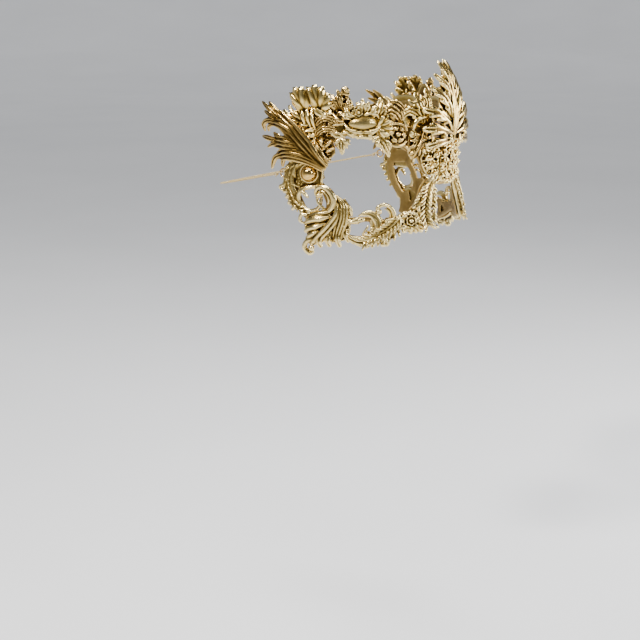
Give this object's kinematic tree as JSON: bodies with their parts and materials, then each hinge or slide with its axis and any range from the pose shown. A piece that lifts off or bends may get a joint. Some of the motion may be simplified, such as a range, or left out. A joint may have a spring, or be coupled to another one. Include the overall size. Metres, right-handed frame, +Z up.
{
  "type": "venetian masquerade mask",
  "caption": "Ornate half mask of gilded acanthus leaves, scrolls and rosettes round two eye openings, with a tall centre leaf and an elastic head cord.",
  "frame": {"origin": "the middle of the bridge plate's flat back, which rests on the bridge of the nose at eye height", "axes": "the face looks along -Y, so +Y points to the back of the head; +Z is up the face; +X is the wearer's left; the mask is the same on both sides of X = 0"},
  "size_m": [0.1802, 0.2107, 0.1498],
  "materials": {
    "backing_gold": "thin moulded backing sprayed dull gold",
    "champagne_gold": "cast resin painted pale champagne gold, satin, with brown in the recesses",
    "antique_gold": "cast resin painted antique gold, with dark brown patina in the recesses",
    "bright_gold": "cast resin painted bright gold with creamy highlights",
    "polished_gold": "smooth, highly polished gold plating",
    "elastic": "thin round elastic cord with a braided pale gold sheath"
  },
  "bodies": {
    "mask": {"bridge_plate": "backing_gold", "bridge_cluster": "bright_gold", "crest_leaf": "bright_gold", "crest_post": "bright_gold", "brow_band_right": "backing_gold", "brow_band_left": "backing_gold", "lower_band_right": "backing_gold", "lower_band_left": "backing_gold", "side_plate_right": "champagne_gold", "side_plate_left": "champagne_gold", "cheek_leaf_right": "champagne_gold", "cheek_leaf_left": "champagne_gold", "lower_scroll_right": "champagne_gold", "lower_scroll_left": "champagne_gold", "spray_leaf_right": "champagne_gold", "spray_leaf_left": "champagne_gold", "lower_rosette_right": "champagne_gold", "lower_rosette_left": "champagne_gold", "nose_strip_right": "champagne_gold", "nose_strip_left": "champagne_gold", "temple_leaf_right": "antique_gold", "temple_leaf_left": "antique_gold", "temple_flower_right": "antique_gold", "temple_flower_left": "antique_gold", "brow_scroll_right": "antique_gold", "brow_scroll_left": "antique_gold", "temple_sprig_right": "antique_gold", "temple_sprig_left": "antique_gold", "cartouche_right": "antique_gold", "cartouche_left": "antique_gold", "brow_plume_right": "antique_gold", "brow_plume_left": "antique_gold", "outer_drop_right": "antique_gold", "outer_drop_left": "antique_gold", "inner_drop_right": "antique_gold", "inner_drop_left": "antique_gold", "brow_shell_right": "antique_gold", "brow_shell_left": "antique_gold", "curled_leaf_right": "antique_gold", "curled_leaf_left": "antique_gold", "brow_rosette_right": "antique_gold", "brow_rosette_left": "antique_gold", "bridge_drop_right": "antique_gold", "bridge_drop_left": "antique_gold", "ball_cup_right": "antique_gold", "ball_cup_left": "antique_gold", "crest_side_leaf_right": "bright_gold", "crest_side_leaf_left": "bright_gold", "bridge_filigree_right": "bright_gold", "bridge_filigree_left": "bright_gold", "ball_right": "polished_gold", "ball_left": "polished_gold", "tie_ring_right": "polished_gold", "tie_ring_left": "polished_gold"},
    "strap": {"elastic_cord": "elastic", "tie_knot_right": "elastic", "tie_knot_left": "elastic"}
  },
  "joints": [
    {"name": "strap_swing", "type": "hinge", "parent": "mask", "child": "strap", "pos_m": [0, 0.09756, 0.0055], "axis": [1, 0, 0], "range_deg": [-90, 60]}
  ]
}
